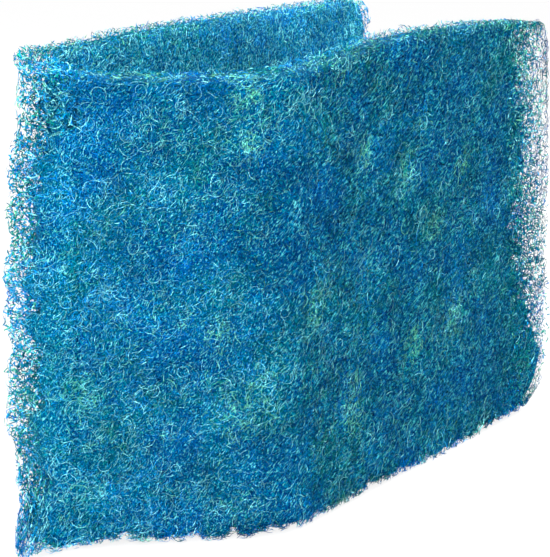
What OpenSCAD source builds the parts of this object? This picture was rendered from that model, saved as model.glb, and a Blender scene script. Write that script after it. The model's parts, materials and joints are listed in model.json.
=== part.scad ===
// Thick pond filter mat of curled, bonded fibre, folded in two and standing on a long cut edge.
// The mat is four webs of carded fibre, laid on each other and bonded face to face.
// Its fold springs open, so the back leaf stands off, and the front leaf bends away at a second line.
// Millimetres, +Z up. The near panel of the front leaf faces -Y, and the fold is at -X.

/* [Mat] */
// Length of the mat along the middle of its thickness, as if laid flat
mat_length = 1200; // [1050:10:1400]
// Height of the standing mat
mat_height = 400; // [300:10:500]
// Thickness of one web, a quarter of the mat
web_thickness = 9.5; // [6:0.5:12]
// How far the two core webs lie below the face webs at the cut top edge
core_setback = 1.5; // [0.5:0.5:4]

/* [Fold] */
// Angle between the two leaves at the fold
fold_opening = 47; // [40:1:70]
// Radius of the inside of the fold
fold_inner_r = 12; // [6:1:24]

/* [Front leaf] */
// Length of the flat near panel, from the fold to the bend
near_length = 151; // [110:1:200]
// Angle that the far panel turns away from the near panel
bend_angle = 41; // [20:1:48]
// Radius of the inside of the bend
bend_inner_r = 20; // [10:1:40]
// Length of the flat far panel along its foot
far_length = 412; // [320:2:460]
// How far the hand-cut far end leans in at the top
far_end_slant = 19; // [0:1:40]
// Radius of the far panel's worn foot corner
far_foot_r = 85; // [30:5:110]
// Radius of the far panel's top corner
far_top_r = 10; // [4:1:30]

/* [Back leaf] */
// Radius of the back leaf's top corner
back_top_r = 22; // [6:1:40]
// Radius of the back leaf's foot corner
back_foot_r = 12; // [6:1:40]

/* [Hidden] */
$fn = 96;

// Webs, counted from the outside of the fold to its inside
outer_face = 0;
outer_core = 1;
inner_core = 2;
inner_face = 3;
web_count = 4;

// Each web's colour: the faces catch the light, the core lies in shade
web_colour = ["deepskyblue", "steelblue", "teal", "dodgerblue"];

mat_thickness = web_count * web_thickness;
fold_outer_r = fold_inner_r + mat_thickness;
fold_turn = 180 - fold_opening;

// The back leaf takes the length that the front leaf, the bend and the fold leave
bend_length = bend_angle * PI / 180 * (bend_inner_r + mat_thickness / 2);
fold_length = fold_turn * PI / 180 * (fold_inner_r + mat_thickness / 2);
back_length = mat_length - near_length - bend_length - far_length - fold_length;

// Plan points are counted from the fold's axis until frame_shift centres the footprint
function turned(p, angle) = [
    p.x * cos(angle) - p.y * sin(angle),
    p.x * sin(angle) + p.y * cos(angle)
];
bend_axis = [near_length, bend_inner_r - fold_inner_r];

// The slanted far end reaches furthest where its foot corner ends
slant_angle = atan(far_end_slant / mat_height);
far_reach = far_length - far_foot_r / tan(45 - slant_angle / 2) * sin(slant_angle);

end_points = [
    bend_axis + turned([far_reach, -bend_inner_r], bend_angle),
    bend_axis + turned([far_reach, -bend_inner_r - mat_thickness], bend_angle),
    turned([back_length, fold_inner_r], fold_opening),
    turned([back_length, fold_outer_r], fold_opening)
];
x_max = max([for (p = end_points) p.x]);
y_max = max([for (p = end_points) p.y]);
frame_shift = [(fold_outer_r - x_max) / 2, (fold_outer_r - y_max) / 2, 0];
echo(fold_axis = frame_shift, bend_axis = frame_shift + [bend_axis.x, bend_axis.y, 0]);
echo(back_length = back_length);

// How far a corner's cutting piece stands past the edge that it trims
cut_past = 1;

// How far a swept web stops short of the flat webs it meets, at the inside of the bend
seam_clearance = 0.01;

function web_height(web) =
    mat_height - (web == outer_core || web == inner_core ? core_setback : 0);
function unit(v) = v / norm(v);

// What comes off a corner at p, whose edges leave it along the unit vectors a and b
module corner_cut(p, a, b, r) {
    half = acos(a * b) / 2;
    centre = p + unit(a + b) * r / sin(half);
    tangent = r / tan(half);
    difference() {
        polygon([p - (a + b) * cut_past, p + a * tangent, centre, p + b * tangent]);
        translate(centre)
            circle(r);
    }
}

// One web of a flat leaf, in the leaf's own frame, with the bend's axis at the origin
module leaf_web(web, length, slant, foot_r, top_r, inner_r) {
    height = web_height(web);
    foot = [length, 0];
    top = [length - slant * height / mat_height, height];
    up = unit(top - foot);
    translate([0, -inner_r - (inner_face - web) * web_thickness, 0])
        rotate([90, 0, 0])
            linear_extrude(web_thickness)
                difference() {
                    polygon([[0, 0], foot, top, [0, height]]);
                    corner_cut(foot, [-1, 0], up, foot_r);
                    corner_cut(top, [-1, 0], -up, top_r);
                }
}

// One web of a bend, swept about the bend's axis from the angle start
module bent_web(web, inner_r, start, turn) {
    seam = seam_clearance / inner_r * 180 / PI;
    rotate([0, 0, start + seam])
        rotate_extrude(angle = turn - 2 * seam)
            translate([inner_r + (inner_face - web) * web_thickness, 0])
                square([web_thickness, web_height(web)]);
}

module at_fold_axis() {
    translate(frame_shift)
        children();
}

module at_bend_axis() {
    at_fold_axis()
        translate([bend_axis.x, bend_axis.y, 0])
            children();
}

// The near panel is flat and square at both ends
module front_near_web(web) {
    color(web_colour[web])
        at_fold_axis()
            translate([0, -fold_inner_r - (inner_face - web + 1) * web_thickness, 0])
                cube([near_length, web_thickness, web_height(web)]);
}

module front_bend_web(web) {
    color(web_colour[web])
        at_bend_axis()
            bent_web(web, bend_inner_r, -90, bend_angle);
}

module front_far_web(web) {
    color(web_colour[web])
        at_bend_axis()
            rotate([0, 0, bend_angle])
                leaf_web(web, far_length, far_end_slant, far_foot_r, far_top_r, bend_inner_r);
}

module fold_web(web) {
    color(web_colour[web])
        at_fold_axis()
            bent_web(web, fold_inner_r, fold_opening + 90, fold_turn);
}

// The back leaf is the front leaf's mirror image about the fold's axis
module back_web(web) {
    color(web_colour[web])
        at_fold_axis()
            rotate([0, 0, fold_opening])
                mirror([0, 1, 0])
                    leaf_web(web, back_length, 0, back_foot_r, back_top_r, fold_inner_r);
}

front_near_web(outer_face);  // front_near_outer_face_web
front_near_web(outer_core);  // front_near_outer_core_web
front_near_web(inner_core);  // front_near_inner_core_web
front_near_web(inner_face);  // front_near_inner_face_web
front_bend_web(outer_face);  // front_bend_outer_face_web
front_bend_web(outer_core);  // front_bend_outer_core_web
front_bend_web(inner_core);  // front_bend_inner_core_web
front_bend_web(inner_face);  // front_bend_inner_face_web
front_far_web(outer_face);  // front_far_outer_face_web
front_far_web(outer_core);  // front_far_outer_core_web
front_far_web(inner_core);  // front_far_inner_core_web
front_far_web(inner_face);  // front_far_inner_face_web
fold_web(outer_face);  // fold_outer_face_web
fold_web(outer_core);  // fold_outer_core_web
fold_web(inner_core);  // fold_inner_core_web
fold_web(inner_face);  // fold_inner_face_web
back_web(outer_face);  // back_outer_face_web
back_web(outer_core);  // back_outer_core_web
back_web(inner_core);  // back_inner_core_web
back_web(inner_face);  // back_inner_face_web
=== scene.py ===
"""Folded fibre filter mat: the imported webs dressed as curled, resin-bonded fibre over felted batting."""

import json
import logging
import math
from dataclasses import dataclass, field
from enum import Enum, IntEnum

import bmesh
import bpy
import numpy as np
from mathutils import Matrix, Vector, noise


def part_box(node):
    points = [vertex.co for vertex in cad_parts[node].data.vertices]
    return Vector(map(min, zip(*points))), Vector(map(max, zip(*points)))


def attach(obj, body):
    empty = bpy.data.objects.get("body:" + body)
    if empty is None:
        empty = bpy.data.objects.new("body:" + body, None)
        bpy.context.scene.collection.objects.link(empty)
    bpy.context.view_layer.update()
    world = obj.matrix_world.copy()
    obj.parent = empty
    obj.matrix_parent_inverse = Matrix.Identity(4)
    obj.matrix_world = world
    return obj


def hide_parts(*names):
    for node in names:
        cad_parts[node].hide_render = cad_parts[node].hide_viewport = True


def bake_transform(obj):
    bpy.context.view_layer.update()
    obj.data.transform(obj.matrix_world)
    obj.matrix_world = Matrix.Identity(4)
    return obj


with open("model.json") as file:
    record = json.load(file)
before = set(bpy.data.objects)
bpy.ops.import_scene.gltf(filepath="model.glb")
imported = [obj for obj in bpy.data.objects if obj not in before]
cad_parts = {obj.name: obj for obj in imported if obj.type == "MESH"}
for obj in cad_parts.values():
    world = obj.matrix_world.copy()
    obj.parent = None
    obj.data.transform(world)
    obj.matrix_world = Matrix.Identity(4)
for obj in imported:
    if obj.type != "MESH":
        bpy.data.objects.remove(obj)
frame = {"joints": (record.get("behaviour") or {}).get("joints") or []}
LOG = logging.getLogger("fibre_mat")
IMAGE_SIZE = (550, 557)


class Zone(Enum):
    """The five lengths of the mat, between its two flexing lines."""

    BACK = "back"
    FOLD = "fold"
    NEAR = "front_near"
    BEND = "front_bend"
    FAR = "front_far"


class Web(Enum):
    """The four webs, counted from the outside of the fold to its inside."""

    OUTER_FACE = 0
    OUTER_CORE = 1
    INNER_CORE = 2
    INNER_FACE = 3

    @property
    def is_face(self) -> bool:
        """Whether the web is one of the two that show."""
        return self in (Web.OUTER_FACE, Web.INNER_FACE)

    @property
    def slot(self) -> str:
        """The record's material slot for this web."""
        return "face_fibre" if self.is_face else "core_fibre"


class Tint(Enum):
    """Fibre colours in the blend, ordered so that neighbours are alike (linear RGB)."""

    NAVY = (0.000, 0.050, 0.190)
    BLUE = (0.000, 0.150, 0.500)
    AZURE = (0.004, 0.310, 0.640)
    # PALE is partly the blend's own pale fibre and partly a painted highlight on the shiny polyester.
    PALE = (0.300, 0.900, 0.920)
    STRAW = (0.200, 0.720, 0.400)
    GREEN = (0.006, 0.320, 0.240)
    TEAL = (0.000, 0.190, 0.290)

    @property
    def position(self) -> float:
        """Where the colour sits on the blend's ramp."""
        return (list(Tint).index(self) + 0.5) / len(Tint)


@dataclass(frozen=True)
class Crimp:
    """One way in which a fibre is curled.

    Args:
        length: Shortest and longest fibre, in metres.
        radius: Tightest and widest curl, in metres.
        segments: Straight steps along one fibre.
        flip: Chance that the curl changes hand half way.
    """

    length: tuple[float, float]
    radius: tuple[float, float]
    segments: int
    flip: float


class Curl(Enum):
    """The crimps found in the blend: a short dash, a stitch that rises and dives, a wave and a loop."""

    DASH = Crimp((0.0030, 0.0065), (0.004, 0.014), 3, 0.2)
    STITCH = Crimp((0.0045, 0.0105), (0.006, 0.022), 3, 0.1)
    WAVE = Crimp((0.010, 0.018), (0.006, 0.014), 5, 0.5)
    LOOP = Crimp((0.020, 0.032), (0.0040, 0.0080), 9, 0.1)


@dataclass(frozen=True)
class Strewing:
    """How fibres lie in one part of a web.

    Args:
        shares: Parts of the fibres that are dashes, stitches, waves and loops.
        steepness: How steeply a fibre leaves the face, in radians.
        girth: Thickness of the fibres beside those on a face.
        teal: How much of the blend is teal and green in place of blue and pale, from 0 to 1.
    """

    shares: tuple[float, float, float, float]
    steepness: float
    girth: float
    teal: float


class Place(Enum):
    """The parts of a web that fibres lie in."""

    FACE = Strewing((0.0, 0.77, 0.19, 0.04), 0.40, 1.0, 0.0)
    EDGE = Strewing((0.62, 0.20, 0.18, 0.0), 0.5, 2.0, 0.4)
    BODY = Strewing((0.75, 0.19, 0.055, 0.005), 1.1, 3.3, 0.8)


class Field(IntEnum):
    """Seeds of the fields of unevenness. A web adds its number where its edges are to differ."""

    FACE = 1
    FRAY = 2
    RECESS = 4
    HUE = 11
    LIGHT = 12
    TEAR = 12
    BROAD = 13
    HOLES = 21
    HOLLOW = 31
    TEETH = 32


def lumps(place: np.ndarray, size: float, seed: int) -> np.ndarray:
    """Smooth random unevenness at some places.

    Args:
        place: An array of points.
        size: Width of one lump, in metres.
        seed: Which field to read.

    Returns:
        Values from about -1 to 1, one for each point.
    """
    shift = Vector((seed * 7.3, seed * 3.9, seed * 5.1))
    return np.array([noise.noise(Vector(p) / size + shift) for p in place])


def smooth(value: np.ndarray) -> np.ndarray:
    """Eases from 0 to 1."""
    held = np.clip(value, 0, 1)
    return held * held * (3 - 2 * held)


def stand(name: str, data: bpy.types.ID) -> bpy.types.Object:
    """Puts new data into the scene.

    Args:
        name: The object's name.
        data: A mesh, a curve, a lamp or a camera.

    Returns:
        The new object.
    """
    obj = bpy.data.objects.new(name, data)
    bpy.context.scene.collection.objects.link(obj)
    return obj


@dataclass(frozen=True)
class MatPath:
    """The mat's own coordinates: s along its middle, depth from its outer face, z up.

    s is 0 where the near panel leaves the fold. It grows towards the far end and is negative in the
    fold and the back leaf.
    """

    fold_axis: Vector
    bend_axis: Vector
    web_thickness: float
    height: float
    fold_inner_r: float
    bend_inner_r: float
    fold_opening: float = math.radians(47)
    bend_angle: float = math.radians(41)
    far_length: float = 0.412
    far_end_slant: float = 0.044
    far_foot_r: float = 0.085
    far_top_r: float = 0.018
    far_overhang: float = 0.025
    mat_length: float = 1.2
    back_top_r: float = 0.030
    back_foot_r: float = 0.012
    fold_puff: float = 0.009
    fold_flare: float = 0.045
    fold_tuck: float = 0.006
    fold_draw: float = 0.008
    fold_ripple: float = 0.0022
    foot_ragged: float = 0.016
    splay: float = 0.03
    splay_pivot: float = 0.42
    draw_from: float = 0.27
    draw_ease: float = 0.10
    puff_from: float = 0.04
    puff_ease: float = 0.08
    puff_share: float = 0.75
    ripple_waves: tuple[float, float] = (143.0, 61.0)
    ripple_phase: float = 1.3
    flare_height: float = 0.09
    tuck_height: float = 0.15
    tuck_ease: float = 0.13
    lift_height: float = 0.06
    hollow_patch: float = 0.22
    hollow_from: float = 0.20
    hollow_until: float = 1.45
    hollow_ease: float = 0.3
    hollow_foot: float = 0.05
    hollow_lump: float = 0.022
    hollow_top: float = 0.28
    hollow_top_ease: float = 0.11
    side_from: float = 0.6
    side_until: float = 1.1
    side_ease: float = 0.4
    tooth_width: float = 0.008
    sag_at: tuple[float, ...] = (-0.30, -0.20, -0.11, -0.07, -0.03, 0.02, 0.10, 0.18, 0.33, 0.45, 0.59)
    sag: tuple[float, ...] = (0.0, 0.002, 0.006, 0.007, 0.012, 0.020, 0.022, 0.017, 0.001, 0.001, 0.008)
    lift_at: tuple[float, ...] = (-0.05, 0.0, 0.03, 0.08, 0.12, 0.17, 0.22, 0.32, 0.38, 0.45, 0.50, 0.59)
    lift: tuple[float, ...] = (0.0, 0.003, 0.005, 0.002, 0.0, 0.001, 0.003, 0.003, 0.0, 0.0, 0.004, 0.003)

    @classmethod
    def from_frame(cls) -> "MatPath":
        """Reads the axes from the joints and the thickness from the near panel's webs.

        Returns:
            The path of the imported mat.
        """
        at = {j["name"]: Vector(j["pos_m"]) for j in frame["joints"]}
        face_low, face_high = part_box("front_near_outer_face_web")
        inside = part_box("front_near_inner_face_web")[1].y
        return cls(
            fold_axis=at["fold_hinge"],
            bend_axis=at["front_flex"],
            web_thickness=face_high.y - face_low.y,
            height=face_high.z,
            fold_inner_r=at["fold_hinge"].y - inside,
            bend_inner_r=at["front_flex"].y - inside,
        )

    @property
    def thickness(self) -> float:
        """The whole mat's thickness."""
        return self.web_thickness * len(Web)

    @property
    def near_length(self) -> float:
        """Length of the flat near panel."""
        return self.bend_axis.x - self.fold_axis.x

    @property
    def bend_length(self) -> float:
        """Length of the bend along the mat's middle."""
        return self.bend_angle * (self.bend_inner_r + self.thickness / 2)

    @property
    def fold_turn(self) -> float:
        """Angle that the fold goes through."""
        return math.pi - self.fold_opening

    @property
    def fold_length(self) -> float:
        """Length of the fold along the mat's middle."""
        return self.fold_turn * (self.fold_inner_r + self.thickness / 2)

    @property
    def back_length(self) -> float:
        """Length of the back leaf, which is what the other zones leave."""
        return self.mat_length - self.near_length - self.bend_length - self.far_length - self.fold_length

    def span(self, zone: Zone) -> tuple[float, float]:
        """The range of s that a zone covers.

        Args:
            zone: One of the five lengths.

        Returns:
            Its lowest and highest s.
        """
        bend_at = self.near_length
        far_at = bend_at + self.bend_length
        return {
            Zone.BACK: (-self.fold_length - self.back_length, -self.fold_length),
            Zone.FOLD: (-self.fold_length, 0.0),
            Zone.NEAR: (0.0, bend_at),
            Zone.BEND: (bend_at, far_at),
            Zone.FAR: (far_at, far_at + self.far_length),
        }[zone]

    def web_depth(self, web: Web) -> tuple[float, float]:
        """Depths at which a web begins and ends, from the outer face."""
        return web.value * self.web_thickness, (web.value + 1) * self.web_thickness

    def rounding(self, z: np.ndarray, foot_r: float, top_r: float) -> tuple[np.ndarray, np.ndarray]:
        """How far an end's two rounded corners set it back at each height.

        Args:
            z: Heights.
            foot_r: Radius of the foot corner.
            top_r: Radius of the top corner.

        Returns:
            The foot corner's set-back and the top corner's.
        """
        low = np.clip(foot_r - z, 0, foot_r)
        high = np.clip(z - self.height + top_r, 0, top_r)
        return foot_r - np.sqrt(foot_r**2 - low**2), top_r - np.sqrt(top_r**2 - high**2)

    def far_end(self, z: np.ndarray) -> np.ndarray:
        """Where the far panel ends at each height, with its worn foot corner.

        Args:
            z: Heights.

        Returns:
            The highest s at each height.
        """
        lean = self.far_end_slant * z / self.height
        worn, cut = self.rounding(z, self.far_foot_r, self.far_top_r)
        return self.span(Zone.FAR)[1] + self.far_overhang - lean - worn - cut

    def back_end(self, z: np.ndarray) -> np.ndarray:
        """Where the back leaf ends at each height, with its rounded corners.

        Args:
            z: Heights.

        Returns:
            The lowest s at each height.
        """
        worn, cut = self.rounding(z, self.back_foot_r, self.back_top_r)
        return self.span(Zone.BACK)[0] + worn + cut

    def fold_share(self, s: np.ndarray) -> np.ndarray:
        """How far round the fold a place lies, from 0 at the near panel to 1 at the back leaf."""
        return np.clip(-s / self.fold_length, 0, 1)

    def hollow(self, s: np.ndarray, z: np.ndarray) -> np.ndarray:
        """How far the bend has pulled the fibres apart in the fold, from 0 to 1.

        Args:
            s: Distances along the mat.
            z: Heights.

        Returns:
            1 in the middle of the fold, and less where the panels begin and near the foot.
        """
        past = -s / self.fold_length
        sheet = np.stack([0.5 * s, z, 0 * s], axis=-1)
        patchy = self.hollow_patch * lumps(sheet, self.hollow_lump, Field.HOLLOW)
        wider = 0.3 * smooth((z - self.hollow_top) / self.hollow_top_ease)
        begin = self.hollow_from + patchy - wider
        inside = smooth((past - begin) / self.hollow_ease)
        across = inside * smooth((self.hollow_until - past - patchy) / self.hollow_ease)
        return across * (0.6 + 0.4 * smooth(z / self.hollow_foot))

    def teeth(self, s: np.ndarray) -> np.ndarray:
        """How far the ragged foot stands off the floor along the mat."""
        line = np.stack([s, 0 * s, 0 * s], axis=-1)
        return self.foot_ragged * np.clip(lumps(line, self.tooth_width, Field.TEETH), 0, 1)

    def stretch(self, s: np.ndarray, depth: np.ndarray) -> np.ndarray:
        """How much longer the mat is at a depth than along its middle.

        Args:
            s: Distances along the mat.
            depth: Depths below the outer face.

        Returns:
            1 on the flat panels, more on the outside of a bend and less on its inside.
        """
        half = self.thickness / 2
        folded = 1 + (half - depth) / (self.fold_inner_r + half)
        bent = 1 + (half - depth) / (self.bend_inner_r + half)
        in_fold = (s < 0) & (s > -self.fold_length)
        in_bend = (s > self.near_length) & (s < self.near_length + self.bend_length)
        return np.select([in_fold, in_bend], [folded, bent], 1.0)

    def places(self, s: np.ndarray, depth: np.ndarray, z: np.ndarray) -> np.ndarray:
        """Turns the mat's own coordinates into places in the row frame.

        Args:
            s: Distances along the mat.
            depth: Depths below the outer face.
            z: Heights.

        Returns:
            An array with a last axis of x, y and z.
        """
        out = self.thickness - depth
        at_fold = out + self.fold_inner_r
        at_bend = out + self.bend_inner_r
        past_near = s - self.near_length
        past_bend = past_near - self.bend_length
        past_fold = -s - self.fold_length
        share = self.fold_share(s)
        corner = np.sin(math.pi * np.clip(share / self.puff_share, 0, 1)) ** 2
        skin = np.clip(1 - 2 * depth / self.thickness, 0, 1)
        round_fold = np.sin(math.pi * share)
        drawn = self.fold_draw * smooth((z - self.draw_from) / self.draw_ease) * round_fold
        short_wave, long_wave = self.ripple_waves
        waves = np.sin(z * short_wave) + np.sin(z * long_wave + self.ripple_phase)
        ripple = self.fold_ripple * waves * round_fold
        puff = self.fold_puff * corner * smooth((z - self.puff_from) / self.puff_ease)
        puffed = at_fold + (puff - drawn + ripple) * skin
        until = smooth((self.side_until + s / self.fold_length) / self.side_ease)
        side = smooth(share / self.side_from) * until * skin
        flared = self.fold_flare * smooth(1 - z / self.flare_height) * side
        tucked = self.fold_tuck * smooth((self.tuck_height - z) / self.tuck_ease) * side
        fold_way = 1.5 * math.pi - share * self.fold_turn
        bend_way = np.clip(past_near / self.bend_length, 0, 1) * self.bend_angle - math.pi / 2
        far_cos, far_sin = math.cos(self.bend_angle), math.sin(self.bend_angle)
        back_cos, back_sin = math.cos(self.fold_opening), math.sin(self.fold_opening)
        zones = [past_fold > 0, s < 0, past_near < 0, past_bend < 0]
        x = np.select(
            zones,
            [
                self.fold_axis.x + past_fold * back_cos - at_fold * back_sin,
                self.fold_axis.x + puffed * np.cos(fold_way),
                self.fold_axis.x + s,
                self.bend_axis.x + at_bend * np.cos(bend_way),
            ],
            self.bend_axis.x + past_bend * far_cos + at_bend * far_sin,
        )
        y = np.select(
            zones,
            [
                self.fold_axis.y + past_fold * back_sin + at_fold * back_cos,
                self.fold_axis.y + puffed * np.sin(fold_way),
                self.fold_axis.y - at_fold,
                self.bend_axis.y + at_bend * np.sin(bend_way),
            ],
            self.bend_axis.y + past_bend * far_sin - at_bend * far_cos,
        )
        grown = 1 - np.interp(s, self.sag_at, self.sag) / self.height
        spread = 1 + self.splay * (self.splay_pivot - z / self.height)
        raised = np.interp(s, self.lift_at, self.lift) * smooth(1 - z / self.lift_height)
        return np.stack([(x + tucked) * spread, (y - flared) * spread, z * grown + raised], axis=-1)


@dataclass(frozen=True)
class Tuft:
    """A small patch where pale fibres came together in the carding.

    Args:
        s: Distance along the mat.
        z: Height.
        radius: Width of the patch.
        green: How green it is beside pale, from 0 to 1.
    """

    s: float
    z: float
    radius: float
    green: float = 0.15


TUFTS = (
    Tuft(0.344, 0.123, 0.014, 1.0),
    Tuft(0.137, 0.112, 0.017),
    Tuft(0.146, 0.132, 0.012),
    Tuft(0.248, 0.084, 0.015),
    Tuft(0.250, 0.109, 0.011),
    Tuft(0.418, 0.275, 0.011, 0.3),
    Tuft(0.255, 0.312, 0.011),
    Tuft(0.133, 0.345, 0.011),
    Tuft(0.125, 0.384, 0.011),
    Tuft(0.187, 0.195, 0.010),
    Tuft(0.002, 0.138, 0.012),
    Tuft(0.110, 0.183, 0.010),
    Tuft(0.411, 0.135, 0.018, 0.1),
    Tuft(0.322, 0.285, 0.014, 0.15),
    Tuft(0.374, 0.228, 0.013, 0.25),
)


class Shade:
    """A small helper that lays out the nodes of a material or of the world."""

    def __init__(self, owner: bpy.types.Material | bpy.types.World) -> None:
        """Starts with the nodes that the owner has at first.

        Args:
            owner: The material or the world.
        """
        owner.use_nodes = True
        self.owner = owner
        self.tree = owner.node_tree

    def node(self, kind: str, inputs: dict | None = None, **settings: object) -> bpy.types.Node:
        """Adds a node.

        Args:
            kind: The node's type, without its prefix.
            inputs: Values or output sockets for its inputs, by name or index.
            settings: The node's own properties.

        Returns:
            The new node.
        """
        new = self.tree.nodes.new("ShaderNode" + kind)
        for key, value in settings.items():
            setattr(new, key, value)
        for key, value in (inputs or {}).items():
            self.join(new.inputs[key], value)
        return new

    def join(self, socket: bpy.types.NodeSocket, value: object) -> None:
        """Sets an input to a value, or links it to an output socket.

        Args:
            socket: The input.
            value: A value or an output socket.
        """
        if isinstance(value, bpy.types.NodeSocket):
            self.tree.links.new(value, socket)
        else:
            socket.default_value = value

    def math(self, operation: str, *values: object) -> bpy.types.NodeSocket:
        """Adds a Math node and gives its output."""
        return self.node("Math", dict(enumerate(values)), operation=operation).outputs[0]

    def noise(
        self, place: bpy.types.NodeSocket, scale: float, detail: float = 2.0
    ) -> bpy.types.NodeSocket:
        """Adds a noise texture and gives its value."""
        return self.node("TexNoise", {"Vector": place, "Scale": scale, "Detail": detail}).outputs[0]

    def spread(
        self, value: bpy.types.NodeSocket, low: float, high: float, first: float = 0.0, last: float = 1.0
    ) -> bpy.types.NodeSocket:
        """Maps values between low and high to values between first and last."""
        return self.node("MapRange", {0: value, 1: low, 2: high, 3: first, 4: last}).outputs[0]

    def ramp(
        self, value: bpy.types.NodeSocket, stops: list[tuple[float, tuple]]
    ) -> bpy.types.NodeSocket:
        """Adds a colour ramp.

        Args:
            value: The socket that the ramp reads.
            stops: Positions and linear colours, from the lowest.

        Returns:
            The ramp's colour output.
        """
        new = self.node("ValToRGB", {0: value})
        elements = new.color_ramp.elements
        while len(elements) < len(stops):
            elements.new(0.5)
        for element, (position, colour) in zip(elements, stops):
            element.position = position
            element.color = (*colour, 1.0)
        return new.outputs[0]

    def blend(self, mode: str, factor: object, first: object, second: object) -> bpy.types.NodeSocket:
        """Mixes two colours.

        Args:
            mode: How they are mixed.
            factor: How much of the second colour goes in.
            first: A colour or its socket.
            second: A colour or its socket.

        Returns:
            The mixed colour's socket.
        """
        mix = self.node("Mix", data_type="RGBA", blend_type=mode)
        self.join(mix.inputs[0], factor)
        self.join(mix.inputs[6], first)
        self.join(mix.inputs[7], second)
        return mix.outputs[2]

    def lit(self, colour: object, level: bpy.types.NodeSocket) -> bpy.types.NodeSocket:
        """Multiplies a colour by one level and gives the result."""
        grey = self.node("CombineColor", {0: level, 1: level, 2: level}).outputs[0]
        return self.blend("MULTIPLY", 1.0, colour, grey)

    def seen(self) -> bpy.types.NodeSocket:
        """Tells what the camera sees, also in gloss or through glass, from other light.

        Returns:
            A socket that is 1 for what is seen and 0 for the rest.
        """
        path = self.node("LightPath").outputs
        mirrored = self.math("MAXIMUM", path["Is Glossy Ray"], path["Is Transmission Ray"])
        return self.math("MAXIMUM", path["Is Camera Ray"], mirrored)

    def dress(self, inputs: dict[str, object]) -> bpy.types.Material:
        """Sets or links the inputs of the material's Principled shader.

        Args:
            inputs: Values or output sockets, by the name of the input.

        Returns:
            The dressed material.
        """
        for name, value in inputs.items():
            self.join(self.tree.nodes["Principled BSDF"].inputs[name], value)
        return self.owner


@dataclass(frozen=True)
class FibreFinish:
    """Resin-bonded polyester fibre, dyed in a blend of blues, teal and straw.

    Each fibre carries its dye and its tone in the first two channels of a colour attribute.
    """

    name: str
    gain: float
    attribute: str = "fibre"

    def material(self) -> bpy.types.Material:
        """Builds the fibre's material.

        Returns:
            A material that reads the fibre attribute and Object coordinates.
        """
        shade = Shade(bpy.data.materials.new(self.name))
        fibre = shade.node("Attribute", attribute_name=self.attribute)
        parts = shade.node("SeparateColor", {0: fibre.outputs["Color"]})
        place = shade.node("TexCoord").outputs["Object"]
        dye = shade.ramp(parts.outputs[0], [(t.position, t.value) for t in Tint])
        streak = shade.noise(place, 130.0)
        patch = shade.noise(place, 24.0, 3.0)
        grain = shade.noise(place, 900.0, 1.0)
        tone = shade.math("MULTIPLY_ADD", parts.outputs[1], 1.1 * self.gain, 0.45 * self.gain)
        worn = shade.math("MULTIPLY_ADD", streak, 0.7, 0.65)
        mottle = shade.math("MULTIPLY_ADD", patch, 1.1, 0.45)
        # Painted glints and shade: the colour flickers brighter and darker along each fibre.
        painted_glint = shade.spread(grain, 0.3, 0.7, 0.3, 1.7)
        level = shade.math("MULTIPLY", shade.math("MULTIPLY", tone, worn), mottle)
        bump = shade.node("Bump", {"Height": grain, "Strength": 0.35, "Distance": 0.0004})
        return shade.dress(
            {
                "Base Color": shade.lit(dye, shade.math("MULTIPLY", level, painted_glint)),
                "Roughness": shade.math("MULTIPLY_ADD", streak, 0.35, 0.28),
                "Normal": bump.outputs[0],
                "Specular IOR Level": 0.02,
            }
        )


@dataclass(frozen=True)
class FeltFinish:
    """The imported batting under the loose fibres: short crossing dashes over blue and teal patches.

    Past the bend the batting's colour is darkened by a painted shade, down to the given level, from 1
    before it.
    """

    name: str
    dark: tuple[float, float, float]
    teal: tuple[float, float, float]
    # The first dash colour is a painted shade for the gaps between fibres; the last is a pale fibre colour
    # that is partly a painted highlight.
    lines: tuple[tuple, tuple, tuple, tuple]
    leans: tuple[float, float, float, float] = (15.0, 95.0, -40.0, 45.0)
    yaw: float = 25.0
    dash: tuple[float, float] = (0.0008, 0.0045)
    starts: tuple[float, float, float, float] = (0.53, 0.55, 0.57, 0.62)
    soft: float = 0.08
    far_shade: float = 1.0
    far_shade_between: tuple[float, float] = (-0.06, 0.08)

    def material(self) -> bpy.types.Material:
        """Builds the batting's material.

        Returns:
            A material whose dashes are four noises, each drawn out along its own direction.
        """
        shade = Shade(bpy.data.materials.new(self.name))
        place = shade.node("TexCoord").outputs["Object"]
        teal = shade.spread(shade.noise(place, 20.0, 3.0), 0.45, 0.62)
        colour = shade.blend("MIX", teal, (*self.dark, 1), (*self.teal, 1))
        width, length = self.dash
        height = None
        for index, (lean, line, begin) in enumerate(zip(self.leans, self.lines, self.starts)):
            drawn = shade.node(
                "Mapping",
                {
                    "Vector": place,
                    "Location": (index * 0.31, index * 0.17, index * 0.23),
                    "Rotation": (0.0, math.radians(lean), math.radians(self.yaw)),
                    "Scale": (width, width, length),
                },
                vector_type="TEXTURE",
            )
            threads = shade.noise(drawn.outputs[0], 1.0, 0.0)
            seen = shade.spread(threads, begin, begin + self.soft)
            colour = shade.blend("MIX", seen, colour, (*line, 1))
            height = seen if height is None else shade.math("MAXIMUM", height, seen)
        broad = shade.math("MULTIPLY_ADD", shade.noise(place, 24.0, 3.0), 1.0, 0.5)
        # Painted shade: the colour darkens along the mat past the bend.
        along = shade.node("SeparateXYZ", {0: place}).outputs[0]
        far_shade = shade.spread(along, *self.far_shade_between, 1.0, self.far_shade)
        bump = shade.node("Bump", {"Height": height, "Strength": 0.8, "Distance": 0.0015})
        return shade.dress(
            {
                "Base Color": shade.lit(colour, shade.math("MULTIPLY", broad, far_shade)),
                "Roughness": shade.math("MULTIPLY_ADD", height, -0.2, 0.75),
                "Normal": bump.outputs[0],
                "Specular IOR Level": 0.01,
            }
        )


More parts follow.
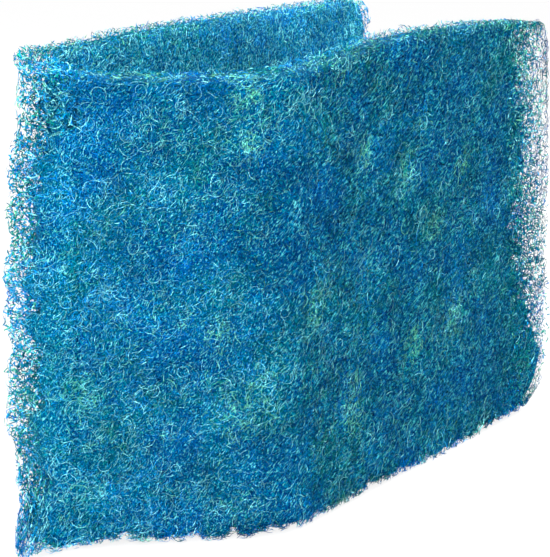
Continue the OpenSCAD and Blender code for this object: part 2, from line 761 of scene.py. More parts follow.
@dataclass(frozen=True)
class PaperFinish:
    """The white sheet that the mat stands on: it takes the shadow and reads white to the camera."""

    name: str = "white_floor"
    share: float = 0.75
    strength: float = 1.15

    def material(self) -> bpy.types.Material:
        """Builds the floor's material.

        Returns:
            A matt white that is mostly self-lit for what the camera sees.
        """
        shade = Shade(bpy.data.materials.new(self.name))
        place = shade.node("TexCoord").outputs["Object"]
        white = shade.ramp(shade.noise(place, 40.0), [(0.0, (0.86,) * 3), (1.0, (0.9,) * 3)])
        shade.dress({"Base Color": white, "Roughness": 0.9})
        glow = shade.node("Emission", {"Strength": self.strength})
        mix = shade.node("MixShader", {0: shade.math("MULTIPLY", shade.seen(), self.share)})
        shade.join(mix.inputs[1], shade.tree.nodes["Principled BSDF"].outputs[0])
        shade.join(mix.inputs[2], glow.outputs[0])
        shade.join(shade.tree.nodes["Material Output"].inputs["Surface"], mix.outputs[0])
        return shade.owner


@dataclass
class FeltWeb:
    """The batting of one web in one zone: a slab that stays below the loose fibres."""

    path: MatPath
    zone: Zone
    web: Web
    cell: float = 0.006
    face_depth: float = 0.0030
    fold_recess: float = 0.026
    fold_drop: float = 0.012
    top_inset: float = 0.0030
    foot_inset: float = 0.0035
    edge_round: float = 0.008
    open_at: tuple[float, ...] = (0.05, 0.08, 0.11, 0.15, 0.20, 0.225, 0.25, 0.28, 0.33, 0.36, 0.40)
    open_end: tuple[float, ...] = (
        0.001, 0.060, 0.090, 0.112, 0.130, 0.125, 0.082, 0.072, 0.082, 0.092, 0.100,
    )
    back_inset: float = 0.004
    far_inset: tuple[float, float] = (0.005, 0.010)
    far_inset_from: float = 0.09
    far_inset_ease: float = 0.16
    far_torn: float = 0.9
    top_torn: float = 0.002
    foot_torn: float = 0.05
    face_lump: float = 0.0016
    recess_lump: float = 0.014
    edge_worn: float = 0.005
    hole_level: float = 0.85
    hole_size: float = 0.014
    end_hole_size: float = 0.009
    fold_pull: float = 1.2
    end_pull: float = 1.7
    end_ease: float = 0.75
    web_shift: float = 0.004
    rim_limit: float = 0.499
    rim_round: float = 0.6
    end_cell: float = 0.0045
    end_crowd: float = 1.5
    end_skew: float = 0.003
    least: float = 0.0003

    def end_inset(self, z: np.ndarray) -> np.ndarray:
        """How far the batting stays behind the loose cut end of its leaf.

        Args:
            z: Heights.

        Returns:
            The set-back at each height.
        """
        if self.zone is Zone.FAR:
            least, more = self.far_inset
            return least + more * smooth((z - self.far_inset_from) / self.far_inset_ease)
        return np.full_like(z, self.back_inset)

    def worn_through(self, s: np.ndarray, z: np.ndarray) -> np.ndarray:
        """Whether the batting has a hole at each place, as it does in the fold and at the far end.

        Args:
            s: Distances along the mat.
            z: Heights.

        Returns:
            An array of truth values.
        """
        reach = np.interp(z, self.open_at, self.open_end)
        left = (self.path.far_end(z) - s + self.end_skew * self.web.value) / reach
        at_end = smooth((1 - left) / self.end_ease)
        sheet = np.stack([s, z, np.full_like(s, self.web.value * self.web_shift)], axis=1)
        pulled = 0.0 if self.web is Web.INNER_FACE else self.fold_pull
        mottled = 1.1 + 0.6 * smooth((0.5 - left) / 0.3)
        loose = mottled if self.web is Web.OUTER_FACE else self.end_pull
        thin = np.maximum(loose * at_end, pulled * self.path.hollow(s, z))
        size = self.end_hole_size if self.zone is Zone.FAR else self.hole_size
        return lumps(sheet, size, Field.HOLES) > self.hole_level - thin

    def along(self, share: np.ndarray) -> np.ndarray:
        """Spaces the far panel's columns more closely towards its loose end."""
        return 1 - (1 - share) ** self.end_crowd if self.zone is Zone.FAR else share

    def faces(self, s: np.ndarray, z: np.ndarray) -> tuple[np.ndarray, np.ndarray]:
        """Depths of the batting's outer and inner surface.

        Args:
            s: Distances along the mat.
            z: Heights.

        Returns:
            The two depths, rounded off at the free ends and the cut edges.
        """
        skin = self.path.places(s, 0 * s, z)
        uneven = self.fold_recess + self.recess_lump * lumps(skin, 0.016, Field.RECESS)
        recess = uneven * self.path.hollow(s, z) ** 2
        left = np.minimum(self.path.far_end(z) - s, s - self.path.back_end(z))
        edge = np.minimum(self.path.height - self.top_inset - z, left - self.end_inset(z))
        worn = np.clip(1 - edge / self.edge_round, 0, 1) ** 2 * self.edge_worn
        shared = self.face_depth + worn + lumps(skin, 0.030, Field.FACE) * self.face_lump
        return shared + recess, self.path.thickness - shared

    def opened(self) -> bmesh.types.BMesh:
        """Makes a flat grid for the zone, opens its holes and gives it a thickness of 1.

        Returns:
            A slab from -0.5 to 0.5 along the mat and up it, and from 0 to 1 through it.
        """
        low, high = self.path.span(self.zone)
        columns = max(4, round((high - low) / self.cell))
        ragged_end = self.zone is Zone.FAR and self.web is Web.OUTER_FACE
        rows = round(self.path.height / (self.end_cell if ragged_end else self.cell))
        bm = bmesh.new()
        bmesh.ops.create_grid(bm, x_segments=columns, y_segments=rows, size=0.5)
        middle = np.array([f.calc_center_median() for f in bm.faces]) + 0.5
        tall = middle[:, 1] * self.path.height
        until = self.path.far_end(tall) if self.zone is Zone.FAR else high
        open_at = self.worn_through(low + self.along(middle[:, 0]) * (until - low), tall)
        holes = [f for f, is_open in zip(bm.faces, open_at) if is_open]
        bmesh.ops.delete(bm, geom=holes, context="FACES")
        within = [v for v in bm.verts if max(abs(v.co.x), abs(v.co.y)) < self.rim_limit]
        rims = [v for v in within if v.is_boundary]
        bmesh.ops.smooth_vert(bm, verts=rims, factor=self.rim_round, use_axis_x=True, use_axis_y=True)
        grown = bmesh.ops.extrude_face_region(bm, geom=bm.faces[:])
        risen = [e for e in grown["geom"] if isinstance(e, bmesh.types.BMVert)]
        bmesh.ops.translate(bm, verts=risen, vec=(0, 0, 1))
        return bm

    def build(self) -> bpy.types.Object:
        """Lays the opened slab through the zone at the web's own depth.

        Returns:
            The batting as a closed mesh object.
        """
        low, high = self.path.span(self.zone)
        bm = self.opened()
        at = np.array([v.co for v in bm.verts])
        edge = at * (0, self.path.height, 0)
        number = self.web.value
        torn = lumps(edge, 0.030, Field.TEAR + number) + lumps(edge, 0.010, Field.FRAY + number)
        ragged = lumps(at * (high - low, 0, 0), 0.009, Field.TEETH + number)
        tall = self.path.height - self.foot_inset - self.top_inset
        z = self.foot_inset + (at[:, 1] + 0.5) * tall
        first, last = np.full(len(z), low), np.full(len(z), high)
        if self.zone is Zone.FAR:
            last = self.path.far_end(z) - self.end_inset(z) * (1 + self.far_torn * torn)
        if self.zone is Zone.BACK:
            first = self.path.back_end(z) + self.end_inset(z) * (1 + torn)
        s = first + self.along(np.clip(at[:, 0] + 0.5, 0, 1)) * (last - first)
        drop = self.fold_drop * self.path.hollow(s, np.full_like(z, self.path.height))
        z = z - (drop + self.top_torn * (1 + ragged)) * smooth((at[:, 1] + 0.1) / 0.6)
        z = z + self.path.teeth(s) * smooth((self.foot_torn - at[:, 1] - 0.5) / self.foot_torn)
        outer, inner = self.faces(s, z)
        side = number + np.round(at[:, 2])
        depth = np.clip(
            side * self.path.web_thickness,
            outer + side * self.least,
            inner - (len(Web) - side) * self.least,
        )
        for vert, place in zip(bm.verts, self.path.places(s, depth, z)):
            vert.co = place
        bmesh.ops.recalc_face_normals(bm, faces=bm.faces)
        mesh = bpy.data.meshes.new(f"{self.zone.value}_{self.web.name.lower()}_batting")
        bm.to_mesh(mesh)
        bm.free()
        mesh.polygons.foreach_set("use_smooth", [True] * len(mesh.polygons))
        return stand(mesh.name, mesh)


@dataclass(frozen=True)
class Density:
    """How many fibres lie in each part of a web, by square or cubic metre.

    hidden is the share of the foot's fibres that the webs behind the outer face keep, and far_share the
    share of the bend's face fibres that the far panel keeps.
    """

    face: float
    top: float = 130_000.0
    foot: float = 420_000.0
    hidden: float = 0.25
    far_share: float = 1.0
    end: float = 14.0e6
    body: float = 0.0


@dataclass
class FibreWeb:
    """The loose, curled fibres of one web in one zone."""

    path: MatPath
    zone: Zone
    web: Web
    density: Density
    girth: float
    seed: int
    fringe: float = 0.0035
    edge_reach: float = 0.007
    skin: float = 0.0016
    fold_reach: float = 0.026
    most_fibres: int = 11_000
    root_rise: float = 0.0003
    thin_ease: float = 0.12
    bare_from: float = 0.45
    bare_ease: float = 0.4
    bare_most: float = 0.92
    crest_from: float = 0.29
    crest_ease: float = 0.06
    crest_less: float = 0.4
    end_fewer: float = 0.13
    end_crowd: float = 0.7
    wander: float = 0.3
    edge_spread: tuple[float, float] = (0.5, 1.4)
    lean: float = 48.0
    leans: dict[Zone, float] = field(default_factory=lambda: {Zone.FAR: 30.0, Zone.BACK: 5.0})
    lean_spread: float = 42.0
    leaning: float = 0.55
    proud: float = 0.0012
    floor_gap: float = 0.0005
    uneven_girth: tuple[float, float] = (0.75, 1.3)
    long_girth: float = 0.85
    far_girth: float = 0.9

    @property
    def end_reach(self) -> float:
        """How far the loose fibres of a cut end reach into the leaf."""
        return 0.078 if self.zone is Zone.FAR else 0.010

    def strewn(self, rng: np.random.Generator) -> dict[Place, np.ndarray]:
        """Chooses where each fibre's middle lies.

        Args:
            rng: The seeded source of chance.

        Returns:
            Rows of s, z and depth for each part of the web.
        """
        low, high = self.path.span(self.zone)
        top, bottom = self.path.web_depth(self.web)
        tall, length = self.path.height, high - low
        strip = length * self.path.web_thickness

        def rows(count: float, s: tuple[float, float], z: tuple[float, float]) -> np.ndarray:
            """Strews fibres evenly through the web's depth.

            Args:
                count: How many.
                s: Lowest and highest distance along the mat.
                z: Lowest and highest height.

            Returns:
                Rows of s, z and depth.
            """
            n = int(count)
            return np.stack(
                [rng.uniform(*s, n), rng.uniform(*z, n), rng.uniform(top, bottom, n)], axis=1
            )

        face = rows(self.density.face * length * tall * self.web.is_face, (low, high), (0, tall))
        sunk = np.abs(rng.normal(0, self.skin, len(face))) - self.root_rise
        face[:, 2] = top + sunk if self.web is Web.OUTER_FACE else bottom - sunk
        face = self.thinned(face, rng)
        foot = self.density.foot * (1 if self.web is Web.OUTER_FACE else self.density.hidden)
        edges = [
            rows(self.density.top * strip, (low, high), (tall - self.edge_reach, tall)),
            rows(foot * strip, (low, high), (0, self.edge_reach)),
        ]
        beyond = (low - self.fold_reach, high) if self.zone is Zone.FOLD else (low, high)
        body = [rows(self.density.body * strip * tall, beyond, (0, tall))]
        open_at = np.sqrt(self.path.hollow(body[0][:, 0], body[0][:, 1]))
        crest = smooth((body[0][:, 1] - self.crest_from) / self.crest_ease)
        open_at = open_at * (1 - self.crest_less * crest)
        body[0] = body[0][rng.random(len(body[0])) < open_at]
        if self.zone in (Zone.FAR, Zone.BACK):
            block = self.end_reach * tall * self.path.web_thickness
            share = 1 - self.end_fewer * self.web.value
            end = rows(self.density.end * share * block, (0, 1), (0, tall))
            inward = self.end_reach * end[:, 0] ** self.end_crowd
            in_far = self.zone is Zone.FAR
            end[:, 0] = self.path.far_end(end[:, 1]) - inward if in_far else low + inward
            body.append(end)
        return {
            Place.FACE: face,
            Place.EDGE: np.concatenate(edges),
            Place.BODY: np.concatenate(body),
        }

    def thinned(self, face: np.ndarray, rng: np.random.Generator) -> np.ndarray:
        """Takes fibres off the far panel, but not off its tufts, and off the opened fold.

        Args:
            face: Rows of s, z and depth.
            rng: The seeded source of chance.

        Returns:
            The rows that stay.
        """
        if self.zone is Zone.FAR:
            tufts = np.array([[tuft.s, tuft.z, tuft.radius] for tuft in TUFTS])
            off = ((face[:, None, :2] - tufts[None, :, :2]) ** 2).sum(axis=2) / tufts[:, 2] ** 2
            begun = smooth((face[:, 0] - self.path.span(self.zone)[0]) / self.thin_ease)
            sparse = (1 - self.density.far_share) * begun
            sparse = sparse * (1 - np.exp(-off.min(axis=1)))
            face = face[rng.random(len(face)) > sparse]
        if self.web is Web.OUTER_FACE:
            hollow = self.path.hollow(face[:, 0], face[:, 1])
            bare = smooth((hollow - self.bare_from) / self.bare_ease)
            face = face[rng.random(len(face)) > self.bare_most * bare]
        return face

    def crimped(
        self, roots: np.ndarray, place: Place, curl: Curl, rng: np.random.Generator
    ) -> np.ndarray:
        """Curls fibres about their roots.

        Args:
            roots: Rows of s, z and depth.
            place: The part of the web that they lie in.
            curl: How they are curled.
            rng: The seeded source of chance.

        Returns:
            Places in the row frame, by fibre and by point along it.
        """
        crimp = curl.value
        count, steps = len(roots), crimp.segments
        length = rng.uniform(*crimp.length, (count, 1))
        bend = 1 / rng.uniform(*crimp.radius, (count, 1)) * rng.choice([-1, 1], (count, 1))
        turn_at = rng.integers(1, steps, (count, 1))
        flips = rng.random((count, 1)) < crimp.flip
        hand = np.where(flips & (np.arange(steps) >= turn_at), -1, 1)
        wander = 1 + rng.normal(0, self.wander, (count, steps))
        heading = rng.uniform(0, math.tau, (count, 1))
        if place is Place.EDGE:
            spread = np.where(roots[:, 1:2] > self.path.height / 2, *self.edge_spread)
            heading = rng.normal(0, spread) - bend * length / 2
        elif place is Place.FACE:
            lean = math.radians(self.leans.get(self.zone, self.lean))
            leaning = rng.normal(lean, math.radians(self.lean_spread), (count, 1))
            heading = np.where(rng.random((count, 1)) < self.leaning, leaning, heading)
            heading = heading - bend * length / 2
        step = length / steps
        heading = heading + np.cumsum(bend * hand * wander * step, axis=1)
        steep = place.value.steepness * rng.uniform(0.3, 1.3, (count, 1))
        if place is Place.FACE and curl is Curl.STITCH:
            outward = -1 if self.web is Web.OUTER_FACE else 1
            pitch = steep * outward * np.cos(math.pi * (np.arange(steps) + 0.5) / steps)
        else:
            phase = rng.uniform(0, math.tau, (count, 1))
            rate = rng.uniform(0.5, 1.2, (count, 1))
            flat = 0.5 if place is Place.FACE else 1.0
            pitch = flat * steep * np.sin(phase + np.arange(steps) * rate)

        def run(way: np.ndarray) -> np.ndarray:
            """Adds up the steps along one axis, about their own middle."""
            along = np.cumsum(np.hstack([np.zeros((count, 1)), way * step]), axis=1)
            return along - along.mean(axis=1, keepdims=True)

        longer = self.path.stretch(roots[:, 0:1], roots[:, 2:3])
        s = roots[:, 0:1] + run(np.cos(heading) * np.cos(pitch) / longer)
        z = roots[:, 1:2] + run(np.sin(heading) * np.cos(pitch))
        depth = roots[:, 2:3] + run(np.sin(pitch))
        return self.path.places(*self.kept_in(s, depth, z, rng))

    def kept_in(
        self, s: np.ndarray, depth: np.ndarray, z: np.ndarray, rng: np.random.Generator
    ) -> tuple[np.ndarray, np.ndarray, np.ndarray]:
        """Moves fibres back that stand too far out of the mat.

        Args:
            s: Distances along the mat, by fibre and by point.
            depth: Depths below the outer face.
            z: Heights.
            rng: The seeded source of chance.

        Returns:
            The moved s, depth and z.
        """

        def most(values: np.ndarray) -> np.ndarray:
            """The largest overshoot of each fibre, or 0."""
            return np.maximum(values.max(axis=1, keepdims=True), 0)

        tall, thick = self.path.height, self.path.thickness
        loose = self.fringe * rng.random((len(s), 1)) ** 2
        z = z + most(self.floor_gap + self.path.teeth(s.mean(axis=1))[:, None] - z)
        z = z - most(z - tall - loose)
        inside = np.clip(z, 0, tall)
        s = s - most(s - self.path.far_end(inside) - loose)
        s = s + most(self.path.back_end(inside) - s - loose)
        depth = depth + most(-self.proud - depth)
        depth = depth - most(depth - thick - self.proud)
        return s, depth, z

    def tufted(self, middle: np.ndarray) -> tuple[np.ndarray, np.ndarray]:
        """How much of a pale or a green tuft each fibre belongs to.

        Args:
            middle: The fibres' middles.

        Returns:
            Two arrays from 0 to about 1.
        """
        pale, green = np.zeros(len(middle)), np.zeros(len(middle))
        for tuft in TUFTS:
            centre = self.path.places(np.array([tuft.s]), np.zeros(1), np.array([tuft.z]))
            near = np.exp(-(((middle - centre) / tuft.radius) ** 2).sum(axis=1))
            pale += near
            green += near * tuft.green
        return pale, green

    def painted_light_along(self, s: np.ndarray) -> np.ndarray:
        """How much lighter than the rest the blend is drawn, as painted light: lighter by the fold and on
        the inner faces, darker towards the far end.

        Args:
            s: Distances along the mat.

        Returns:
            The change of tone at each distance.
        """
        if self.web is Web.INNER_FACE:
            return np.full_like(s, 0.40)
        at, painted_light = (-0.03, 0.0, 0.04, 0.15, 0.25, 0.60), (0.50, 0.40, 0.18, -0.10, -0.18, -0.17)
        return np.interp(s, at, painted_light)

    def dyed(
        self, places: np.ndarray, s: np.ndarray, place: Place, curl: Curl, rng: np.random.Generator
    ) -> np.ndarray:
        """Chooses each fibre's dye and tone, in patches, with painted light along the mat and near the
        top.

        Args:
            places: Places by fibre and by point.
            s: Where along the mat each fibre lies.
            place: The part of the web that they lie in.
            curl: How they are curled, because the long ones are paler.
            rng: The seeded source of chance.

        Returns:
            Rows of ramp position and tone, one for each fibre.
        """
        middle = places.mean(axis=1)
        hue = lumps(middle, 0.045, Field.HUE)
        light = lumps(middle, 0.022, Field.LIGHT)
        far = smooth((s - 0.18) / 0.12)
        long = 1.0 if curl in (Curl.WAVE, Curl.LOOP) else 0.0
        if place is Place.BODY:
            hue = np.maximum(hue, 0.05)
        in_fold = place is Place.BODY and self.zone is Zone.FOLD
        # Painted light along the mat: the blend is lighter by the fold and on the inner faces and darker
        # towards the far end.
        teal, painted_light = 0.5 if in_fold else place.value.teal, self.painted_light_along(s)
        pale, green = self.tufted(middle)
        pallor = np.exp(1.3 * light + 1.2 * hue + painted_light)
        # Painted light from above: fibres high on the cut edges and in the far end are drawn paler.
        cut_edge_lit = place is Place.EDGE and self.zone is not Zone.FOLD
        lit_from_above = cut_edge_lit or (place is Place.BODY and self.zone is Zone.FAR)
        crest = smooth((middle[:, 2] - 0.2) / 0.1) * lit_from_above
        azure = np.exp(0.8 * light - 0.6 * hue + 2 * painted_light)
        paler = (0.08 + 0.10 * long) * (1 - 0.5 * teal) * pallor
        weight = {
            Tint.NAVY: (0.14 + 0.05 * far) * (1 - teal) * np.exp(-1.6 * light - 2 * painted_light - crest),
            Tint.BLUE: 0.30 * (1 - 0.8 * teal) * np.exp(-3.0 * hue - crest),
            Tint.AZURE: (0.22 - 0.06 * far) * (1 - 0.5 * teal) * azure,
            Tint.PALE: paler + 0.6 * (pale - green) + 0.13 * crest,
            Tint.STRAW: 0.015 * np.exp(2.0 * hue + light) + 0.8 * pale + 2.0 * green + 0.10 * crest,
            Tint.GREEN: (0.07 + 0.03 * far + 0.12 * teal) * np.exp(2.8 * hue) + 3.0 * green,
            Tint.TEAL: (0.15 + 0.08 * far + 0.35 * teal) * np.exp(2.8 * hue - 0.5 * light),
        }
        table = np.cumsum(np.stack([weight[t] for t in Tint], axis=1), axis=1)
        pick = rng.random((len(middle), 1)) * table[:, -1:]
        chosen = (table < pick).sum(axis=1)
        at = (chosen + 0.5) / len(Tint) + rng.normal(0, 0.02, len(middle))
        broad = lumps(middle, 0.055, Field.BROAD)
        tone = 0.05 + 0.9 * rng.random(len(middle)) ** 1.8 + 0.22 * broad
        tone = tone + painted_light * (1 - teal)
        tone = tone + {Zone.FAR: 0.55, Zone.FOLD: 0.9}.get(self.zone, 0.25) * teal
        tone = tone + 0.28 * np.minimum(pale, 1)
        return np.clip(np.stack([at, tone], axis=1), 0, 1)

    def build(self, section: bpy.types.Object) -> list[bpy.types.Object]:
        """Makes all the fibres of the web.

        Args:
            section: The closed curve that is swept along each fibre.

        Returns:
            Mesh objects, each with no more than most_fibres fibres.
        """
        rng = np.random.default_rng(self.seed)
        groups = []
        for place, roots in self.strewn(rng).items():
            kinds = rng.choice(len(Curl), len(roots), p=place.value.shares)
            for number, curl in enumerate(Curl):
                chosen = roots[kinds == number]
                if len(chosen):
                    places = self.crimped(chosen, place, curl, rng)
                    dyes = self.dyed(places, chosen[:, 0], place, curl, rng)
                    girth = self.girth if place is Place.FACE else place.value.girth
                    girth = girth * rng.uniform(*self.uneven_girth, len(chosen))
                    girth = girth * (self.long_girth if curl in (Curl.WAVE, Curl.LOOP) else 1.0)
                    in_end = place is Place.BODY and self.zone is Zone.FAR
                    girth = girth * (self.far_girth if in_end else 1.0)
                    groups.append((places, np.column_stack([dyes, girth])))
        parts = math.ceil(sum(len(places) for places, _ in groups) / self.most_fibres)
        base = f"{self.zone.value}_{self.web.name.lower()}_fibres"
        return [
            self.swept(
                f"{base}_{part + 1}" if parts > 1 else base,
                [(places[part::parts], looks[part::parts]) for places, looks in groups],
                section,
            )
            for part in range(parts)
        ]

    def swept(self, name: str, groups: list[tuple], section: bpy.types.Object) -> bpy.types.Object:
        """Sweeps the section along fibres that taper to a point at both ends.

        Args:
            name: The piece's name.
            groups: Pairs of places and looks, which are the dye, the tone and the girth.
            section: The closed curve that is swept.

        Returns:
            One closed mesh object with its fibre attribute and bake map.
        """
        curve = bpy.data.curves.new(name, "CURVE")
        curve.dimensions = "3D"
        curve.bevel_mode = "OBJECT"
        curve.bevel_object = section
        marks, count = [], 0
        for places, looks in groups:
            fibres, points = places.shape[:2]
            rows = np.concatenate([places, np.ones((fibres, points, 1))], axis=2)
            girth = np.repeat(looks[:, 2:3], points, axis=1)
            girth[:, [0, -1]] = 0
            for row, wide in zip(rows.reshape(fibres, 4 * points), girth):
                spline = curve.splines.new("POLY")
                spline.points.add(points - 1)
                spline.points.foreach_set("co", row)
                spline.points.foreach_set("radius", wide)
            along = np.tile(np.linspace(0, 1, points), fibres)
            number = np.repeat(np.arange(count, count + fibres), points)
            dyes = np.repeat(looks[:, :2], points, axis=0)
            marks.append(np.column_stack([dyes, along, number]))
            count += fibres
        holder = stand(name + "_curves", curve)
        graph = bpy.context.evaluated_depsgraph_get()
        mesh = bpy.data.meshes.new_from_object(holder.evaluated_get(graph))
        mesh.name = name
        bpy.data.objects.remove(holder)
        bpy.data.curves.remove(curve)
        self.mark(mesh, np.repeat(np.concatenate(marks), 3, axis=0), count)
        bm = bmesh.new()
        bm.from_mesh(mesh)
        bmesh.ops.remove_doubles(bm, verts=bm.verts, dist=1e-7)
        bm.to_mesh(mesh)
        bm.free()
        return stand(name, mesh)

    def mark(self, mesh: bpy.types.Mesh, marks: np.ndarray, count: int) -> None:
        """Writes each fibre's dye, and a bake map with a small cell for each fibre.

        Args:
            mesh: The fibres.
            marks: Dye, tone, share of the length and fibre number of each vertex.
            count: Number of fibres.
        """
        layer = mesh.color_attributes.new("fibre", "FLOAT_COLOR", "POINT")
        values = np.column_stack([marks[:, :3], np.ones(len(marks))])
        layer.data.foreach_set("color", values.astype(np.float32).ravel())
        side = math.ceil(math.sqrt(count))
        around = np.tile([0.15, 0.5, 0.85], len(marks) // 3)
        u = (marks[:, 3] % side + 0.08 + 0.84 * marks[:, 2]) / side
        v = (marks[:, 3] // side + around) / side
        corner = np.zeros(len(mesh.loops), np.int32)
        mesh.loops.foreach_get("vertex_index", corner)
        while mesh.uv_layers:
            mesh.uv_layers.remove(mesh.uv_layers[0])
        bake = mesh.uv_layers.new(name="OFBake")
        places = np.column_stack([u, v])[corner]
        bake.data.foreach_set("uv", places.astype(np.float32).ravel())
        mesh.polygons.foreach_set("use_smooth", [True] * len(mesh.polygons))


@dataclass
class FibreMat:
    """The whole mat: the batting and the fibres of each web in each zone."""

    path: MatPath
    fibre_radius: float = 0.00017
    near_face: float = 230_000.0
    bend_face: float = 240_000.0
    far_share: float = 0.52
    fold_face: float = 220_000.0
    back_face: float = 47_000.0
    inner_face: float = 31_000.0
    back_inner_face: float = 85_000.0
    fold_body: float = 15.0e6
    girths: dict[Zone, float] = field(default_factory=lambda: {Zone.FAR: 1.1, Zone.BACK: 1.4})
    bodies: dict[Zone, str] = field(
        default_factory=lambda: {
            Zone.NEAR: "front_near",
            Zone.FAR: "front_far",
            Zone.BACK: "back_leaf",
        }
    )

    def finishes(self) -> dict[str, bpy.types.Material]:
        """Builds the finishes.

        Returns:
            Materials by name.
        """
        made = [
            FibreFinish("face_fibre", 1.20),
            FibreFinish("core_fibre", 1.0),
            FeltFinish(
                "face_batting",
                (0.000, 0.080, 0.320),
                (0.000, 0.150, 0.220),
                ((0.0, 0.035, 0.11), (0.0, 0.19, 0.50), (0.0, 0.31, 0.50), (0.15, 0.80, 0.86)),
            ),
            # The far panel's batting is darkened past the bend by a painted shade.
            FeltFinish(
                "far_shaded_batting",
                (0.000, 0.080, 0.320),
                (0.000, 0.150, 0.220),
                ((0.0, 0.01, 0.04), (0.0, 0.20, 0.60), (0.0, 0.37, 0.62), (0.15, 1.00, 1.00)),
                leans=(45.0, 95.0, -55.0, 60.0),
                yaw=41.0,
                starts=(0.53, 0.55, 0.57, 0.61),
                far_shade=0.66,
            ),
            # A lighter copy of the batting for the inner faces: painted light inside the fold.
            FeltFinish(
                "inner_lit_batting",
                (0.000, 0.105, 0.340),
                (0.000, 0.150, 0.270),
                ((0.0, 0.03, 0.11), (0.0, 0.26, 0.62), (0.0, 0.42, 0.64), (0.20, 0.96, 1.00)),
                starts=(0.54, 0.55, 0.56, 0.58),
            ),
            FeltFinish(
                "core_batting",
                (0.000, 0.115, 0.340),
                (0.000, 0.150, 0.260),
                ((0.0, 0.06, 0.17), (0.0, 0.22, 0.54), (0.0, 0.35, 0.53), (0.20, 0.76, 0.82)),
            ),
        ]
        return {finish.name: finish.material() for finish in made}

    def batting(self, zone: Zone, web: Web) -> str:
        """Names the finish of a web's batting.

        Args:
            zone: The length of the mat.
            web: The web.

        Returns:
            One of the batting finishes' names.
        """
        if web is Web.INNER_FACE:
            return "inner_lit_batting"
        if zone is Zone.FAR and web is Web.OUTER_FACE:
            return "far_shaded_batting"
        return "face_batting" if web is Web.OUTER_FACE else "core_batting"

    def profile(self) -> bpy.types.Object:
        """Draws the three-sided section of a fibre.

        Returns:
            A closed curve object.
        """
        curve = bpy.data.curves.new("fibre_section", "CURVE")
        spline = curve.splines.new("POLY")
        spline.points.add(2)
        for corner, point in enumerate(spline.points):
            angle = -math.tau * corner / 3
            point.co = (
                self.fibre_radius * math.cos(angle),
                self.fibre_radius * math.sin(angle),
                0,
                1,
            )
        spline.use_cyclic_u = True
        return bpy.data.objects.new("fibre_section", curve)

    def density(self, zone: Zone, web: Web) -> Density:
        """How thickly one web is strewn.

        Args:
            zone: The length of the mat.
            web: The web.

        Returns:
            Fibres by place.
        """
        body = self.fold_body if zone is Zone.FOLD else 0.0
        if web is Web.INNER_FACE:
            return Density(self.back_inner_face if zone is Zone.BACK else self.inner_face, body=body)
        if zone is Zone.FOLD:
            return Density(self.fold_face, body=body)
        if zone is Zone.FAR:
            return Density(self.bend_face, far_share=self.far_share)
        return Density({Zone.BACK: self.back_face, Zone.BEND: self.bend_face}.get(zone, self.near_face))

    def place(self, obj: bpy.types.Object, zone: Zone, web: Web) -> None:
        """Makes a piece move with its body, or bakes its transform where it lies in the fold or the bend.

        Args:
            obj: The piece.
            zone: The length of the mat that it belongs to.
            web: The web that it belongs to.
        """
        if zone in self.bodies:
            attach(obj, self.bodies[zone])
            return
        if zone is Zone.FOLD:
            way, radius = self.path.fold_opening / 2 + math.pi / 2, self.path.fold_inner_r
        else:
            way, radius = self.path.bend_angle / 2, self.path.bend_inner_r
        top, bottom = self.path.web_depth(web)
        radius += self.path.thickness - (top if web.value < 2 else bottom)
        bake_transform(obj)

    def build(self) -> list[bpy.types.Object]:
        """Builds every web's batting and fibres, ties those of the near and far panels and the back leaf
        to their bodies and hides the imported webs.

        Returns:
            All the pieces.
        """
        built = []
        finish = self.finishes()
        section = self.profile()
        for number, (zone, web) in enumerate((z, w) for z in Zone for w in Web):
            node = f"{zone.value}_{web.name.lower()}_web"
            felt = FeltWeb(self.path, zone, web).build()
            felt.data.materials.append(finish[self.batting(zone, web)])
            density, girth = self.density(zone, web), self.girths.get(zone, 1.0)
            fibres = FibreWeb(self.path, zone, web, density, girth, 100 + number)
            pieces = [felt, *fibres.build(section)]
            for loose in pieces[1:]:
                loose.data.materials.append(finish[web.slot])
            for piece in pieces:
                self.place(piece, zone, web)
            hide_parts(node)
            built.extend(pieces)
        return built


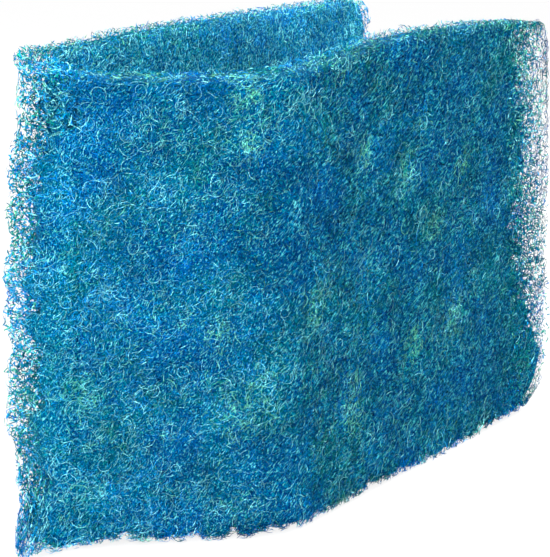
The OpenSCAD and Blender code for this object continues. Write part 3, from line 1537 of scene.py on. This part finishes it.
@dataclass(frozen=True)
class Studio:
    """The white floor, the soft lamps and the camera."""

    camera_at: tuple[float, float, float] = (-0.3471, -1.4692, 0.5431)
    yaw: float = math.radians(-12.81)
    pitch: float = math.radians(14.40)
    roll: float = math.radians(1.10)
    focal_px: float = 1651.0
    floor_half: float = 6.0
    key_watts: float = 62.0
    fill_watts: float = 14.0
    side_watts: float = 34.0
    ambient: float = 0.50

    def lamp(
        self,
        name: str,
        place: tuple[float, float, float],
        aim: tuple[float, float, float],
        size: float,
        watts: float,
    ) -> None:
        """Hangs a square lamp.

        Args:
            name: The lamp's name.
            place: Where it hangs.
            aim: What it points at.
            size: Its side.
            watts: Its power.
        """
        light = bpy.data.lights.new(name, "AREA")
        light.size = size
        light.energy = watts
        obj = stand(name, light)
        obj.location = place
        obj.rotation_euler = (Vector(aim) - Vector(place)).to_track_quat("-Z", "Y").to_euler()

    def world(self) -> None:
        """Sets a soft white surround that the camera sees as plain white."""
        shade = Shade(bpy.data.worlds.new("white_surround"))
        back = shade.tree.nodes["Background"]
        shade.join(back.inputs["Color"], (1, 1, 1, 1))
        shade.join(back.inputs["Strength"], shade.spread(shade.seen(), 0.0, 1.0, self.ambient))
        bpy.context.scene.world = shade.owner

    def floor(self) -> None:
        """Lays the white floor."""
        bm = bmesh.new()
        bmesh.ops.create_grid(bm, x_segments=8, y_segments=8, size=self.floor_half)
        mesh = bpy.data.meshes.new("floor")
        bm.to_mesh(mesh)
        bm.free()
        mesh.materials.append(PaperFinish().material())
        stand("floor", mesh)

    def camera(self) -> None:
        """Sets the camera at the photograph's viewing angle."""
        data = bpy.data.cameras.new("camera")
        data.sensor_fit = "AUTO"
        data.sensor_width = 36.0
        data.lens = data.sensor_width * self.focal_px / max(IMAGE_SIZE)
        obj = stand("camera", data)
        obj.location = self.camera_at
        turn = Matrix.Rotation(self.yaw, 3, "Z") @ Matrix.Rotation(math.pi / 2 - self.pitch, 3, "X")
        obj.rotation_euler = (turn @ Matrix.Rotation(self.roll, 3, "Z")).to_euler()
        bpy.context.scene.camera = obj

    def build(self) -> None:
        """Sets up the whole studio."""
        bpy.context.scene.view_settings.view_transform = "Standard"
        self.world()
        self.floor()
        self.lamp("key", (-1.2, -2.1, 2.1), (-0.05, -0.1, 0.2), 1.4, self.key_watts)
        self.lamp("fill", (1.6, -1.9, 1.4), (0.0, 0.0, 0.2), 1.8, self.fill_watts)
        self.lamp("back", (0.6, 2.2, 1.8), (0.0, 0.0, 0.2), 1.8, self.fill_watts)
        self.lamp("side", (1.7, 0.5, 2.1), (-0.1, 0.0, 0.3), 1.2, self.side_watts)
        self.camera()


def main() -> None:
    """Builds the mat and the studio and reports the number of faces of each piece."""
    logging.basicConfig(level=logging.INFO, format="%(name)s: %(message)s")
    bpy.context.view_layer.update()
    for piece in FibreMat(MatPath.from_frame()).build():
        LOG.info("%s: %d faces", piece.name, len(piece.data.polygons))
    Studio().build()


if __name__ == "__main__":
    main()
